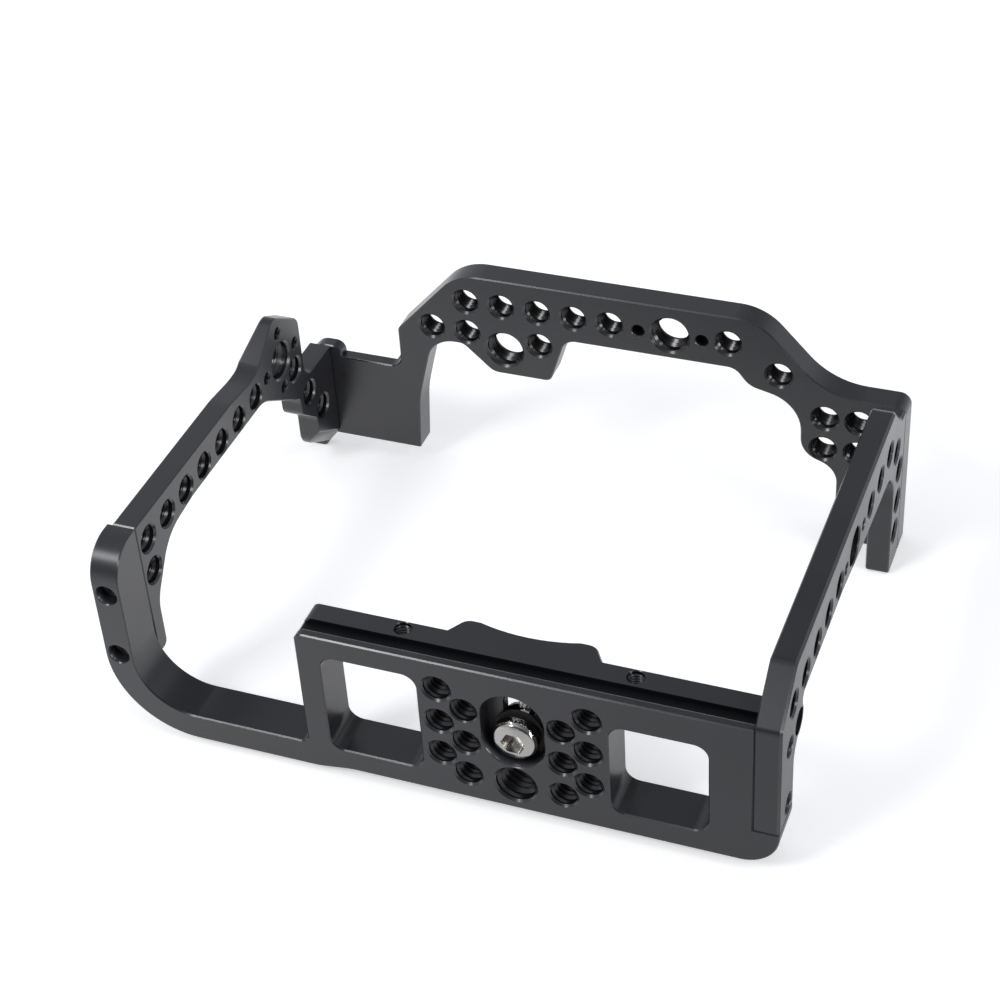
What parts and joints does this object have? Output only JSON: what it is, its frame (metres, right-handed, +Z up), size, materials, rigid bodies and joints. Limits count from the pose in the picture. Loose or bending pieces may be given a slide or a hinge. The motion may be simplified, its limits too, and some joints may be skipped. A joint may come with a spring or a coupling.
{
  "type": "camera cage",
  "caption": "Open black metal camera cage of bolted plates with rows of threaded holes, base windows and a captive camera screw.",
  "frame": {"origin": "centre of the cage's footprint, on the surface that the cage lies on", "axes": "+X along the base plate towards the right side plate, +Y from the base plate to the top plate, +Z up as the cage lies on its back, which is the way a camera's lens would point"},
  "size_m": [0.1624, 0.1212, 0.062],
  "materials": {
    "anodised": "satin black hard-anodised aluminium",
    "stainless": "polished stainless steel",
    "spring_steel": "phosphated spring steel",
    "black_steel": "black oxide steel",
    "nylon": "black nylon"
  },
  "bodies": {
    "root": {"base_plate": "anodised", "left_side_plate": "anodised", "right_side_plate": "anodised", "top_plate": "anodised", "left_post_screws": "black_steel", "right_foot_screws": "black_steel", "top_left_screws": "black_steel", "top_right_screws": "black_steel"},
    "screw_carriage": {"camera_screw_washer": "nylon"},
    "screw_float": {"camera_screw_clip": "spring_steel"},
    "screw": {"camera_screw": "stainless"}
  },
  "joints": [
    {"name": "screw_along_slot", "type": "slide", "parent": "root", "child": "screw_carriage", "axis": [0, 0, 1], "range_m": [0, 0.007]},
    {"name": "screw_in_and_out", "type": "slide", "parent": "screw_carriage", "child": "screw_float", "axis": [0, 1, 0], "range_m": [0, 0.0012]},
    {"name": "screw_turn", "type": "hinge", "parent": "screw_float", "child": "screw", "pos_m": [0.02185, -0.05565, 0.02245], "axis": [0, 1, 0], "continuous": true}
  ]
}
